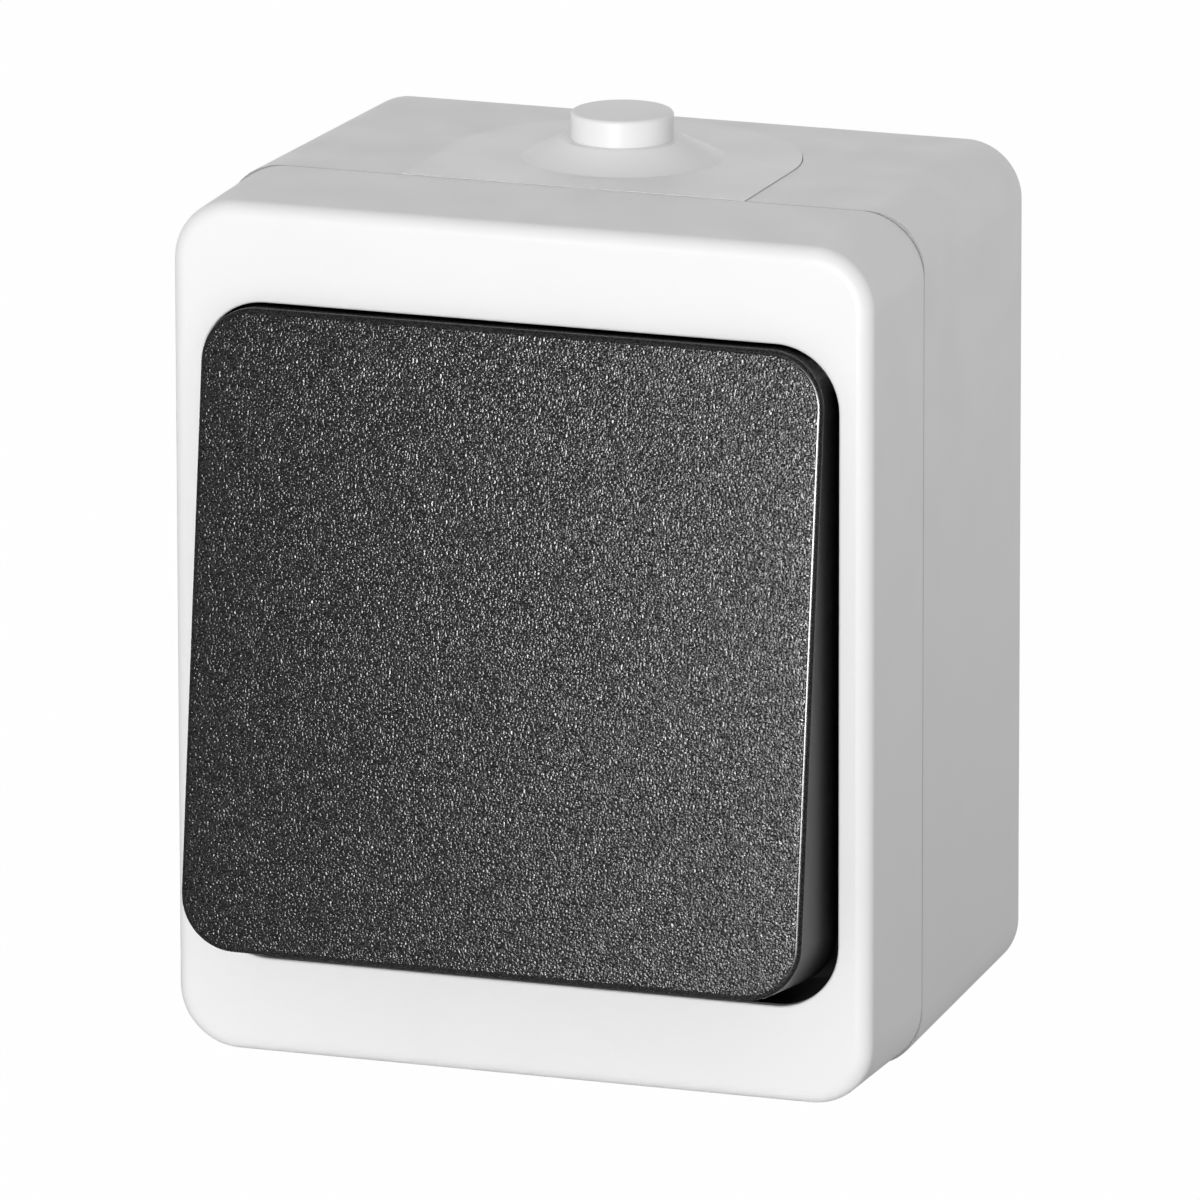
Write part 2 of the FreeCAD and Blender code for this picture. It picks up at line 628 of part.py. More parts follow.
def mechanism_frame():
    """Plate with two bearing ears, two dropped lugs and access holes over the terminal screws."""
    body = slab(FRAME_WIDTH, FRAME_HEIGHT, FRAME_CORNER, FRAME_FRONT, FRAME_REAR)
    half = LUG_WIDTH / 2
    lug_end = MECHANISM_SCREW_Z + LUG_END
    for sz in (1, -1):
        edge = sz * FRAME_HEIGHT / 2
        web_low = min(edge - sz * LUG_PLATE, edge)
        web = block(-half, half, web_low, web_low + LUG_PLATE, FRAME_FRONT, LUG_FRONT + LUG_PLATE)
        lug_low = min(edge, sz * lug_end)
        lug_high = max(edge, sz * lug_end)
        lug = block(-half, half, lug_low, lug_high, LUG_FRONT, LUG_FRONT + LUG_PLATE)
        screw_z = sz * MECHANISM_SCREW_Z
        hole = rod(SCREW_RADIUS + SCREW_PASSAGE, LUG_FRONT, LUG_FRONT + LUG_PLATE, 0.0, screw_z)
        body = body.fuse(web).fuse(lug).cut(hole)
    for side in (1, -1):
        body = body.fuse(bearing_ear(side))
    opening = slab(
        FRAME_OPENING_WIDTH, FRAME_OPENING_HEIGHT, OPENING_CORNER, FRAME_FRONT, FRAME_REAR
    )
    body = body.cut(opening)
    for x, z in TERMINAL_PLACES:
        body = body.cut(rod(ACCESS_RADIUS, FRAME_FRONT, FRAME_REAR, x, z))
    return body.removeSplitter()


def strip(x0, x1, z):
    """Flat terminal strip on the chamber's floor."""
    half = STRIP_WIDTH / 2
    return block(x0, x1, z - half, z + half, STRIP_FRONT, STRIP_REAR)


def mechanism_base():
    """Moulded body: contact chamber, three terminal pockets and the channels of the strips."""
    body = slab(BASE_WIDTH, BASE_HEIGHT, BASE_CORNER, FRAME_REAR, BASE_REAR)
    for sz in (1, -1):
        edge = sz * BASE_HEIGHT / 2
        low = min(edge, edge - sz * LUG_PLATE)
        half = LUG_WIDTH / 2
        body = body.cut(block(-half, half, low, low + LUG_PLATE, FRAME_REAR, LUG_FRONT + LUG_PLATE))
    chamber = slab(CHAMBER_WIDTH, CHAMBER_HEIGHT, OPENING_CORNER, FRAME_REAR, STRIP_REAR)
    body = body.cut(chamber)
    for x, z in TERMINAL_PLACES:
        side = 1 if x > 0 else -1
        inner = x - side * (CAGE_WIDTH / 2 + POCKET_CLEARANCE)
        outer = side * BASE_WIDTH / 2
        tall = CAGE_HEIGHT / 2 + POCKET_CLEARANCE
        low = min(inner, outer)
        high = max(inner, outer)
        body = body.cut(block(low, high, z - tall, z + tall, FRAME_REAR, CAGE_REAR))
        reach_low = min(0.0, inner)
        reach_high = max(0.0, inner)
        half = STRIP_WIDTH / 2 + POCKET_CLEARANCE
        body = body.cut(block(reach_low, reach_high, z - half, z + half, STRIP_FRONT, STRIP_REAR))
    return body.removeSplitter()


def terminal_clamps():
    """Three cages, each with a passage for the wire and the strip, and a hole for its screw."""
    cages = []
    for x, z in TERMINAL_PLACES:
        half_w = CAGE_WIDTH / 2
        half_h = CAGE_HEIGHT / 2
        cage = block(x - half_w, x + half_w, z - half_h, z + half_h, CAGE_FRONT, CAGE_REAR)
        room = half_h - CAGE_SIDE
        inside = CAGE_FRONT + CAGE_TOP
        cage = cage.cut(block(x - half_w, x + half_w, z - room, z + room, inside, STRIP_REAR))
        hole = rod(SCREW_RADIUS + SCREW_CLEARANCE, CAGE_FRONT, CAGE_FRONT + CAGE_TOP, x, z)
        cages.append(cage.cut(hole))
    return Part.makeCompound(cages)


def terminal_screws():
    """Three slotted screws in the cages."""
    length = CAGE_TOP + TERMINAL_TIP
    screws = []
    for index, place in enumerate(TERMINAL_PLACES):
        x, z = place
        turn = index * TERMINAL_SLOT_TURN
        screws.append(screw(x, z, CAGE_FRONT, length, TERMINAL_HEAD_RADIUS, TERMINAL_HEAD, turn))
    return Part.makeCompound(screws)


def line_terminal(sign):
    """Strip from one fixed contact to its clamp on the right."""
    body = strip(-BRIDGE_WIDTH / 2, TERMINAL_X + CAGE_WIDTH / 2, sign * TERMINAL_Z)
    hole = rod(CONTACT_RADIUS / 2 + SCREW_CLEARANCE, STRIP_FRONT, STRIP_REAR, 0.0, sign * CONTACT_ARM)
    return body.cut(hole)


def common_terminal():
    """Strip to the left clamp, with the raised edge on which the bridge tips."""
    body = strip(-TERMINAL_X - CAGE_WIDTH / 2, BRIDGE_WIDTH / 2, 0.0)
    half_x = BRIDGE_WIDTH / 2 - FULCRUM_SIDE_GAP
    edge_depth = BRIDGE_PIVOT_DEPTH + EDGE_CLEARANCE + FULCRUM_EDGE
    blade = block(-half_x, half_x, -FULCRUM_EDGE, FULCRUM_EDGE, edge_depth, STRIP_FRONT)
    round_edge = Part.makeCylinder(FULCRUM_EDGE, 2 * half_x, V(-half_x, at(edge_depth), 0), V(1, 0, 0))
    return body.fuse(blade).fuse(round_edge).removeSplitter()


def fixed_contacts():
    """Flat-headed contact rivets through the two line strips."""
    rivets = []
    for sz in (1, -1):
        z = sz * CONTACT_ARM
        head = rod(CONTACT_RADIUS, STRIP_FRONT - CONTACT_HEIGHT, STRIP_FRONT, 0.0, z)
        shank = rod(CONTACT_RADIUS / 2, STRIP_FRONT, STRIP_REAR, 0.0, z)
        rivets.append(head.fuse(shank))
    return Part.makeCompound(rivets)


def contact_bridge():
    """Seesaw strip with two side tabs that straddle the common terminal's edge."""
    front = BRIDGE_PIVOT_DEPTH - BRIDGE_THICKNESS
    half = BRIDGE_WIDTH / 2
    arm = BRIDGE_LENGTH / 2
    body = block(-half, half, -arm, arm, front, BRIDGE_PIVOT_DEPTH)
    wide = half + BRIDGE_TAB_WALL
    body = body.fuse(block(-wide, wide, -BRIDGE_TAB_HALF, BRIDGE_TAB_HALF, front, BRIDGE_PIVOT_DEPTH))
    tab_end = BRIDGE_PIVOT_DEPTH + BRIDGE_TAB_DROP
    for side in (1, -1):
        low = min(side * half, side * wide)
        high = max(side * half, side * wide)
        body = body.fuse(block(low, high, -BRIDGE_TAB_HALF, BRIDGE_TAB_HALF, front, tab_end))
        place = side * CONTACT_ARM
        hole = rod(CONTACT_RADIUS / 2 + SCREW_CLEARANCE, front, BRIDGE_PIVOT_DEPTH, 0.0, place)
        body = body.cut(hole)
    return bridge_pose(body.removeSplitter())


def domed_rivet(z):
    """Contact rivet turned about its own axis: thin shank, cylindrical foot and a flat dome."""
    front = at(BRIDGE_PIVOT_DEPTH - BRIDGE_THICKNESS)
    seat = at(BRIDGE_PIVOT_DEPTH)
    rim = seat + CONTACT_FOOT
    crown = rim + CONTACT_DOME
    middle_r = CONTACT_RADIUS / 2
    middle_y = crown - DOME_SPHERE + math.sqrt(DOME_SPHERE ** 2 - middle_r ** 2)
    corners = [
        (0.0, front),
        (middle_r, front),
        (middle_r, seat),
        (CONTACT_RADIUS, seat),
        (CONTACT_RADIUS, rim),
    ]
    points = [V(r, y, z) for r, y in corners]
    edges = [Part.LineSegment(a, b).toShape() for a, b in zip(points, points[1:])]
    edges.append(Part.Arc(points[-1], V(middle_r, middle_y, z), V(0, crown, z)).toShape())
    edges.append(Part.LineSegment(V(0, crown, z), points[0]).toShape())
    return Part.Face(Part.Wire(edges)).revolve(V(0, 0, z), V(0, 1, 0), 360)


def moving_contacts():
    """Domed contact rivets at the bridge's ends."""
    rivets = [domed_rivet(sz * CONTACT_ARM) for sz in (1, -1)]
    return bridge_pose(Part.makeCompound(rivets))


def cap_arms(grow, front, back):
    """Two snap arms between the cap and the cradle, or with growth their slots."""
    arms = []
    for sz in (1, -1):
        outer = sz * (ARM_OFFSET + grow)
        inner = sz * (ARM_OFFSET - ARM_WALL - grow)
        low = min(outer, inner)
        high = max(outer, inner)
        wide = ARM_WIDTH / 2 + grow
        arms.append(block(-wide, wide, low, high, front, back))
    return arms


def rocker_cap():
    """Key: square face with rounded edge, deep skirt, stiffening ribs and two snap arms."""
    width = WINDOW_WIDTH - 2 * ROCKER_GAP_SIDE
    height = WINDOW_HEIGHT - 2 * ROCKER_GAP_TOP
    face = fore(ROCKER_FACE_HEIGHT)
    rear = face + ROCKER_SKIRT
    under = face + ROCKER_FACE
    body = slab(width, height, ROCKER_CORNER, face, rear)
    body = body.makeFillet(ROCKER_EDGE, edges_at(body, face))
    hollow = shrink((width, height, ROCKER_CORNER), ROCKER_WALL)
    body = body.cut(slab(*hollow, under, rear))
    half_w = hollow[0] / 2
    half_h = hollow[1] / 2
    rib = RIB_WALL / 2
    for sign in (1, -1):
        place = sign * RIB_SPACING / 2
        body = body.fuse(block(place - rib, place + rib, -half_h, half_h, under, under + RIB_HEIGHT))
        body = body.fuse(block(-half_w, half_w, place - rib, place + rib, under, under + RIB_HEIGHT))
    plate_rear = fore(CRADLE_FRONT) + CRADLE_PLATE
    hook_end = plate_rear + ARM_CLEARANCE + ARM_WALL
    for arm in cap_arms(0.0, under, hook_end):
        body = body.fuse(arm)
    for sz in (1, -1):
        outer = sz * (ARM_OFFSET + ARM_HOOK)
        inner = sz * ARM_OFFSET
        low = min(outer, inner)
        half = ARM_WIDTH / 2
        hook = block(-half, half, low, low + ARM_HOOK, plate_rear + ARM_CLEARANCE, hook_end)
        body = body.fuse(hook)
    return rocker_pose(body.removeSplitter())


def rocker_cradle():
    """Cradle: plate that takes the cap's arms, two cheeks with pins, and the plunger's tube."""
    plate_front = fore(CRADLE_FRONT)
    plate_rear = plate_front + CRADLE_PLATE
    body = slab(CRADLE_WIDTH, CRADLE_HEIGHT, CRADLE_CORNER, plate_front, plate_rear)
    for slot in cap_arms(ARM_CLEARANCE, plate_front, plate_rear):
        body = body.cut(slot)
    half = CRADLE_WIDTH / 2
    pin_length = EAR_GAP + EAR_WALL
    for side in (1, -1):
        low = min(side * half, side * (half - CHEEK_WALL))
        cheek = block(low, low + CHEEK_WALL, -CHEEK_HALF, CHEEK_HALF, plate_front, PIVOT_DEPTH)
        rounded = Part.makeCylinder(CHEEK_HALF, CHEEK_WALL, V(low, PIVOT_Y, 0), V(1, 0, 0))
        pin = Part.makeCylinder(PIN_RADIUS, pin_length, V(side * half, PIVOT_Y, 0), V(side, 0, 0))
        body = body.fuse(cheek).fuse(rounded).fuse(pin)
    body = body.fuse(rod(TUBE_RADIUS, plate_front, fore(-TUBE_REAR)))
    bore = rod(PLUNGER_RADIUS + PLUNGER_CLEARANCE, fore(TUBE_BLIND), fore(-TUBE_REAR))
    return rocker_pose(body.cut(bore).removeSplitter())


def plunger():
    """Round plunger: spigot for the spring, guide, cone and a ball-ended tip."""
    ball = TIP_REACH - PLUNGER_TIP
    front = fore(-PLUNGER_FRONT)
    shoulder = fore(-ball + PLUNGER_SHOULDER)
    guide = rod(PLUNGER_RADIUS, front, shoulder)
    spigot = rod(SPIGOT_RADIUS, front - SPIGOT_LENGTH, front)
    cone_length = PLUNGER_SHOULDER
    cone = Part.makeCone(PLUNGER_RADIUS, PLUNGER_TIP, cone_length, V(0, at(shoulder), 0), V(0, 1, 0))
    tip = Part.makeSphere(PLUNGER_TIP, V(0, at(fore(-ball)), 0))
    return rocker_pose(guide.fuse(spigot).fuse(cone).fuse(tip).removeSplitter())


def plunger_spring():
    """Coil spring between the blind end of the tube and the plunger."""
    length = TUBE_BLIND + PLUNGER_FRONT - 2 * SPRING_WIRE
    helix = Part.makeHelix(length / SPRING_TURNS, length, SPRING_RADIUS)
    circle = Part.Circle(V(SPRING_RADIUS, 0, 0), V(0, 1, 0), SPRING_WIRE)
    ring = Part.Wire([circle.toShape()])
    coil = Part.Wire(helix.Edges).makePipeShell([ring], True, True)
    coil.rotate(V(0, 0, 0), V(1, 0, 0), -90)
    coil.translate(V(0, at(fore(TUBE_BLIND)) + SPRING_WIRE, 0))
    return rocker_pose(coil)


NODES = {
    "back_box": back_box,
    "front_cover": front_cover,
    "inner_tray": inner_tray,
    "cover_gasket": cover_gasket,
    "tray_seal": tray_seal,
    "cable_entry": cable_entry,
    "cover_screws": cover_screws,
    "mechanism_frame": mechanism_frame,
    "mechanism_base": mechanism_base,
    "mechanism_screws": mechanism_screws,
    "terminal_clamps": terminal_clamps,
    "terminal_screws": terminal_screws,
    "upper_terminal": lambda: line_terminal(1),
    "lower_terminal": lambda: line_terminal(-1),
    "common_terminal": common_terminal,
    "fixed_contacts": fixed_contacts,
    "contact_bridge": contact_bridge,
    "moving_contacts": moving_contacts,
    "rocker_cap": rocker_cap,
    "rocker_cradle": rocker_cradle,
    "plunger": plunger,
    "plunger_spring": plunger_spring,
}

os.makedirs("parts", exist_ok=True)
for node, build in NODES.items():
    shape = build()
    shape.exportStep("parts/" + node + ".step")
    box = shape.BoundBox
    print(
        node, len(shape.Solids), shape.isValid(), round(shape.Volume, 1),
        [round(value, 2) for value in (box.XMin, box.YMin, box.ZMin, box.XMax, box.YMax, box.ZMax)],
    )
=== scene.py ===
import json
import math

import bpy
import numpy as np
from mathutils import Matrix, Vector


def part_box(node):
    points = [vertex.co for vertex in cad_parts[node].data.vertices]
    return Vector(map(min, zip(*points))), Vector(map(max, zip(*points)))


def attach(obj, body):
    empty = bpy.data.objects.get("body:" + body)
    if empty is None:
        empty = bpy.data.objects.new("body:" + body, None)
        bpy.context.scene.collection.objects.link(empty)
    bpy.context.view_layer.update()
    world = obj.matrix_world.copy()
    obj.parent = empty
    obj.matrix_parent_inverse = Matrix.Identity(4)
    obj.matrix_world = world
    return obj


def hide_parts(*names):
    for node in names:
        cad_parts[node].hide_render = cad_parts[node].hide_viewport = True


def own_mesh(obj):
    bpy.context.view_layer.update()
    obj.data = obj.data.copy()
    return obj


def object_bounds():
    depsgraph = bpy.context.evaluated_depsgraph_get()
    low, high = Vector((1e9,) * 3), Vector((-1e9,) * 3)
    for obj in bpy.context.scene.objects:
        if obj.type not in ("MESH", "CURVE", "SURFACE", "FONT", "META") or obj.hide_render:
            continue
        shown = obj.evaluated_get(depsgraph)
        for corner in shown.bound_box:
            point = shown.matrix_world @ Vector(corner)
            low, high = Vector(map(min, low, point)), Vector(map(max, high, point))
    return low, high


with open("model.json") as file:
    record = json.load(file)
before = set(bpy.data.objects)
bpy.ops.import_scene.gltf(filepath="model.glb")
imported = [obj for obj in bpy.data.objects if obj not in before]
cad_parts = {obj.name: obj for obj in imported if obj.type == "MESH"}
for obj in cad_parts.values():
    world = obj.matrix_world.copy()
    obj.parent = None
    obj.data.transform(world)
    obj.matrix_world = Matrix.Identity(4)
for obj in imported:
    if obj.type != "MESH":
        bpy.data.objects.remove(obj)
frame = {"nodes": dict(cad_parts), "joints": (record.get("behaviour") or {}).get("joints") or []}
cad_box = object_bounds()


# Camera. The switch is seen from the front, a little from the right and from above, through a
# long lens a metre and a half away. The aim is a point on the cover's front plane.
AIM = (0.00777, -0.0475, 0.00577)
CAMERA_TURN = math.radians(19.277)
CAMERA_RISE = math.radians(14.616)
CAMERA_ROLL = math.radians(-0.099)
CAMERA_DISTANCE = 1.5601
CAMERA_LENS = 517.09
NEAREST_SEEN = 0.1
FARTHEST_SEEN = 20.0


def toward(turn, rise):
    """Direction away from the switch, turned to the right of the front and raised."""
    return Vector(
        (math.sin(turn) * math.cos(rise), -math.cos(turn) * math.cos(rise), math.sin(rise))
    )


outward = toward(CAMERA_TURN, CAMERA_RISE)
level_right = (-outward).cross(Vector((0, 0, 1))).normalized()
level_up = level_right.cross(-outward)
right = level_right * math.cos(CAMERA_ROLL) + level_up * math.sin(CAMERA_ROLL)
up = level_up * math.cos(CAMERA_ROLL) - level_right * math.sin(CAMERA_ROLL)
camera_data = bpy.data.cameras.new("photo_camera")
camera_data.lens = CAMERA_LENS
camera_data.clip_start = NEAREST_SEEN
camera_data.clip_end = FARTHEST_SEEN
camera = bpy.data.objects.new("photo_camera", camera_data)
camera_facing = Matrix((right, up, outward)).transposed().to_4x4()
camera.matrix_world = Matrix.Translation(Vector(AIM) + outward * CAMERA_DISTANCE) @ camera_facing
bpy.context.scene.collection.objects.link(camera)
bpy.context.scene.camera = camera
bpy.context.scene.view_settings.view_transform = "Standard"


# Studio. A pale floor and a white background, and three soft boxes: in front, above and on the
# right. An even grey surround fills in. The room in front is dim, which the black key mirrors.
FLOOR_SIZE = 6.0
FLOOR_GAP = 0.00005
FLOOR_COLOUR = (0.92, 0.92, 0.92, 1)
FLOOR_WHITENING = 0.985
SURROUND = 0.425
BACKDROP_WHITE = (1, 1, 1, 1)
ROOM_FRONT = 0.12
BACK_START = -0.1
BACK_FULL = 0.35
FRONT_BOX_POWER = 12.6
TOP_BOX_POWER = 0.65
SIDE_BOX_POWER = 0.85


def feed(links, value, socket):
    """Give a socket a plain value or another node's output."""
    if isinstance(value, bpy.types.NodeSocket):
        links.new(value, socket)
    else:
        socket.default_value = value


def math_node(nodes, links, operation, *values):
    """Result of a Math node on plain numbers and other nodes' outputs."""
    node = nodes.new("ShaderNodeMath")
    node.operation = operation
    for place, value in enumerate(values):
        feed(links, value, node.inputs[place])
    return node.outputs[0]


def spread(nodes, links, value, low, high, to_low, to_high):
    """Value mapped from one range to another and held at its ends."""
    node = nodes.new("ShaderNodeMapRange")
    links.new(value, node.inputs["Value"])
    node.inputs["From Min"].default_value = low
    node.inputs["From Max"].default_value = high
    feed(links, to_low, node.inputs["To Min"])
    feed(links, to_high, node.inputs["To Max"])
    return node.outputs["Result"]


def one_axis(nodes, links, vector, axis):
    """One coordinate of a vector."""
    node = nodes.new("ShaderNodeSeparateXYZ")
    links.new(vector, node.inputs[0])
    return node.outputs[axis]


def background(nodes, links, coordinate):
    """Which rays see the background, and how bright it is for them.

    Seen is 1 for rays from the camera, through glass and from a mirroring surface. The level is 1,
    and for mirrored rays it falls along Y from 1 behind the switch to the dim room in front.
    """
    path = nodes.new("ShaderNodeLightPath")
    direct = math_node(
        nodes, links, "MAXIMUM", path.outputs["Is Camera Ray"], path.outputs["Is Transmission Ray"]
    )
    seen = math_node(nodes, links, "MAXIMUM", direct, path.outputs["Is Glossy Ray"])
    depth = one_axis(nodes, links, nodes.new("ShaderNodeTexCoord").outputs[coordinate], "Y")
    falling = spread(nodes, links, depth, BACK_START, BACK_FULL, ROOM_FRONT, 1)
    mirrored = math_node(nodes, links, "MULTIPLY", path.outputs["Is Glossy Ray"], falling)
    return seen, math_node(nodes, links, "MAXIMUM", direct, mirrored)


def white_floor(name):
    """Pale floor that is whitened for the camera and keeps part of its shadow."""
    material = bpy.data.materials.new(name)
    material.use_nodes = True
    nodes = material.node_tree.nodes
    links = material.node_tree.links
    nodes.clear()
    diffuse = nodes.new("ShaderNodeBsdfDiffuse")
    diffuse.inputs["Color"].default_value = FLOOR_COLOUR
    glow = nodes.new("ShaderNodeEmission")
    seen, level = background(nodes, links, "Object")
    links.new(level, glow.inputs["Strength"])
    share = math_node(nodes, links, "MULTIPLY", seen, FLOOR_WHITENING)
    mix = nodes.new("ShaderNodeMixShader")
    links.new(share, mix.inputs["Fac"])
    links.new(diffuse.outputs[0], mix.inputs[1])
    links.new(glow.outputs[0], mix.inputs[2])
    output = nodes.new("ShaderNodeOutputMaterial")
    links.new(mix.outputs[0], output.inputs["Surface"])
    return material


def soft_box(name, turn, rise, distance, width, height, power):
    """Area lamp on a sphere round the aim, and facing it."""
    lamp = bpy.data.lights.new(name, "AREA")
    lamp.shape = "RECTANGLE"
    lamp.size = width
    lamp.size_y = height
    lamp.energy = power
    way = toward(math.radians(turn), math.radians(rise))
    facing = way.to_track_quat("Z", "Y").to_matrix().to_4x4()
    holder = bpy.data.objects.new(name, lamp)
    holder.matrix_world = Matrix.Translation(Vector(AIM) + way * distance) @ facing
    bpy.context.scene.collection.objects.link(holder)


floor_z = cad_box[0][2] - FLOOR_GAP
reach = FLOOR_SIZE / 2
floor_mesh = bpy.data.meshes.new("floor")
floor_mesh.from_pydata(
    [(x, y, floor_z) for x, y in ((-reach, -reach), (reach, -reach), (reach, reach), (-reach, reach))],
    [],
    [(0, 1, 2, 3)],
)
floor_mesh.materials.append(white_floor("floor_white"))
floor = bpy.data.objects.new("floor", floor_mesh)
bpy.context.scene.collection.objects.link(floor)

world = bpy.data.worlds.new("studio")
world.use_nodes = True
world_nodes = world.node_tree.nodes
world_links = world.node_tree.links
world_nodes.clear()
world_seen, world_level = background(world_nodes, world_links, "Generated")
ambient = world_nodes.new("ShaderNodeBackground")
ambient.inputs["Color"].default_value = (SURROUND, SURROUND, SURROUND, 1)
backdrop = world_nodes.new("ShaderNodeBackground")
backdrop.inputs["Color"].default_value = BACKDROP_WHITE
world_links.new(world_level, backdrop.inputs["Strength"])
world_mix = world_nodes.new("ShaderNodeMixShader")
world_links.new(world_seen, world_mix.inputs["Fac"])
world_links.new(ambient.outputs[0], world_mix.inputs[1])
world_links.new(backdrop.outputs[0], world_mix.inputs[2])
world_output = world_nodes.new("ShaderNodeOutputWorld")
world_links.new(world_mix.outputs[0], world_output.inputs["Surface"])
bpy.context.scene.world = world

soft_box(
    "front_box", turn=1, rise=-3, distance=1.0, width=0.22, height=0.34, power=FRONT_BOX_POWER
)
soft_box("top_box", turn=10, rise=78, distance=1.0, width=0.5, height=0.5, power=TOP_BOX_POWER)
soft_box("side_box", turn=85, rise=6, distance=1.2, width=0.6, height=0.8, power=SIDE_BOX_POWER)


# Housing: back box and front cover. Both are moulded from the same white weather-resistant
# plastic with a fine satin skin. The cover sits on the box with a gasket in the seam.
HOUSING_WHITE = (0.87, 0.87, 0.868)
HOUSING_GRAIN = 0.00012
HOUSING_WAVE = 0.006
HOUSING_RELIEF = 0.000004
RIM_DEPTH = 0.00015
RIM_SHADE = 0.62
GLOSS_SHIFT = (0.31, 0.17, 0.53)
NOISE_LOW = 0.3
NOISE_HIGH = 0.7


def vector_node(nodes, links, operation, vector, other):
    """Result of a Vector Math node on a node's output and a plain vector or a second output."""
    node = nodes.new("ShaderNodeVectorMath")
    node.operation = operation
    links.new(vector, node.inputs[0])
    feed(links, other, node.inputs[1])
    return node.outputs["Value" if operation == "DOT_PRODUCT" else "Vector"]


def mixed(nodes, links, share, first, second, kind="RGBA", way="MIX"):
    """Two colours or two vectors mixed by a share, each plain or another node's output."""
    node = nodes.new("ShaderNodeMix")
    node.data_type = kind
    node.blend_type = way
    links.new(share, node.inputs["Factor"])
    feed(links, first, node.inputs["A"])
    feed(links, second, node.inputs["B"])
    return node.outputs["Result"]


def noise(nodes, links, place, lumps, detail=2.0, roughness=0.5):
    """Soft noise between 0 and 1, with a number of lumps per metre."""
    node = nodes.new("ShaderNodeTexNoise")
    feed(links, lumps, node.inputs["Scale"])
    node.inputs["Detail"].default_value = detail
    node.inputs["Roughness"].default_value = roughness
    links.new(place, node.inputs["Vector"])
    return node.outputs["Fac"]


def over_noise(nodes, links, value, low, high):
    """A noise's middle part, spread from low to high."""
    return spread(nodes, links, value, NOISE_LOW, NOISE_HIGH, low, high)


def skin_group():
    """Skin of a moulded part: fine grain plus a slow wave, both noises in the piece's own space.

    Height = 0.5 grain + 0.5 wave, Tone = 0.3 grain + 0.7 wave, Gloss = a second slow noise.
    """
    group = bpy.data.node_groups.new("moulded_skin", "ShaderNodeTree")
    for label in ("Grain per metre", "Wave per metre"):
        group.interface.new_socket(label, in_out="INPUT", socket_type="NodeSocketFloat")
    for label in ("Height", "Tone", "Gloss"):
        group.interface.new_socket(label, in_out="OUTPUT", socket_type="NodeSocketFloat")
    nodes = group.nodes
    links = group.links
    given = nodes.new("NodeGroupInput").outputs
    result = nodes.new("NodeGroupOutput").inputs
    place = nodes.new("ShaderNodeTexCoord").outputs["Object"]
    grain = noise(nodes, links, place, given["Grain per metre"], detail=2.0, roughness=0.6)
    wave = noise(nodes, links, place, given["Wave per metre"], detail=2.0)
    shifted = vector_node(nodes, links, "ADD", place, GLOSS_SHIFT)
    gloss = noise(nodes, links, shifted, given["Wave per metre"], detail=1.0)
    half_grain = math_node(nodes, links, "MULTIPLY", grain, 0.5)
    links.new(math_node(nodes, links, "MULTIPLY_ADD", wave, 0.5, half_grain), result["Height"])
    most_wave = math_node(nodes, links, "MULTIPLY", wave, 0.7)
    links.new(math_node(nodes, links, "MULTIPLY_ADD", grain, 0.3, most_wave), result["Tone"])
    links.new(gloss, result["Gloss"])
    return group


moulded_skin = skin_group()


def bare_material(name):
    """Empty material with a Principled shader on its output."""
    material = bpy.data.materials.new(name)
    material.use_nodes = True
    nodes = material.node_tree.nodes
    nodes.clear()
    shader = nodes.new("ShaderNodeBsdfPrincipled")
    output = nodes.new("ShaderNodeOutputMaterial")
    material.node_tree.links.new(shader.outputs[0], output.inputs["Surface"])
    return material, nodes, material.node_tree.links, shader


def tinted(nodes, links, share, first, second):
    """Colour that runs from the first to the second with the share."""
    return mixed(nodes, links, share, (*first, 1), (*second, 1))


def relief(nodes, links, shader, height, depth, strength=1.0):
    """Bump of a real depth in metres on the shader's normal."""
    bump = nodes.new("ShaderNodeBump")
    bump.inputs["Strength"].default_value = strength
    bump.inputs["Distance"].default_value = depth
    links.new(height, bump.inputs["Height"])
    links.new(bump.outputs["Normal"], shader.inputs["Normal"])
    return bump


def moulded(name, colour, change, grain, wave, depth, rough):
    """Plain moulded plastic or rubber on the skin group.

    Its colour goes down and up by the share of change with the tone, and its roughness runs
    between two values with the gloss.
    """
    material, nodes, links, shader = bare_material(name)
    skin = nodes.new("ShaderNodeGroup")
    skin.node_tree = moulded_skin
    skin.inputs["Grain per metre"].default_value = 1 / grain
    skin.inputs["Wave per metre"].default_value = 1 / wave
    dark = [channel * (1 - change) for channel in colour]
    light = [min(1.0, channel * (1 + change)) for channel in colour]
    links.new(tinted(nodes, links, skin.outputs["Tone"], dark, light), shader.inputs["Base Color"])
    links.new(over_noise(nodes, links, skin.outputs["Gloss"], *rough), shader.inputs["Roughness"])
    relief(nodes, links, shader, skin.outputs["Height"], depth)
    return material


def dress(node, material):
    """Put one material on a CAD node."""
    piece = frame["nodes"][node]
    piece.data.materials.clear()
    piece.data.materials.append(material)


def white_plastic(name, colour, change, rough):
    """White plastic with the housing's grain."""
    return moulded(name, colour, change, HOUSING_GRAIN, HOUSING_WAVE, HOUSING_RELIEF, rough)


def shaded_rim(material, plane):
    """Darken the box's front rim, whose narrow ledge lies in the shade of the seam.

    The shade is whole on the plane across Y and is gone at the rim's depth behind it.
    """
    nodes = material.node_tree.nodes
    links = material.node_tree.links
    colour = next(node for node in nodes if node.type == "BSDF_PRINCIPLED").inputs["Base Color"]
    depth = one_axis(nodes, links, nodes.new("ShaderNodeTexCoord").outputs["Object"], "Y")
    shade = spread(nodes, links, depth, plane, plane + RIM_DEPTH, 1, 0)
    shaded = (RIM_SHADE, RIM_SHADE, RIM_SHADE, 1)
    plain = colour.links[0].from_socket
    links.new(mixed(nodes, links, shade, plain, shaded, way="MULTIPLY"), colour)


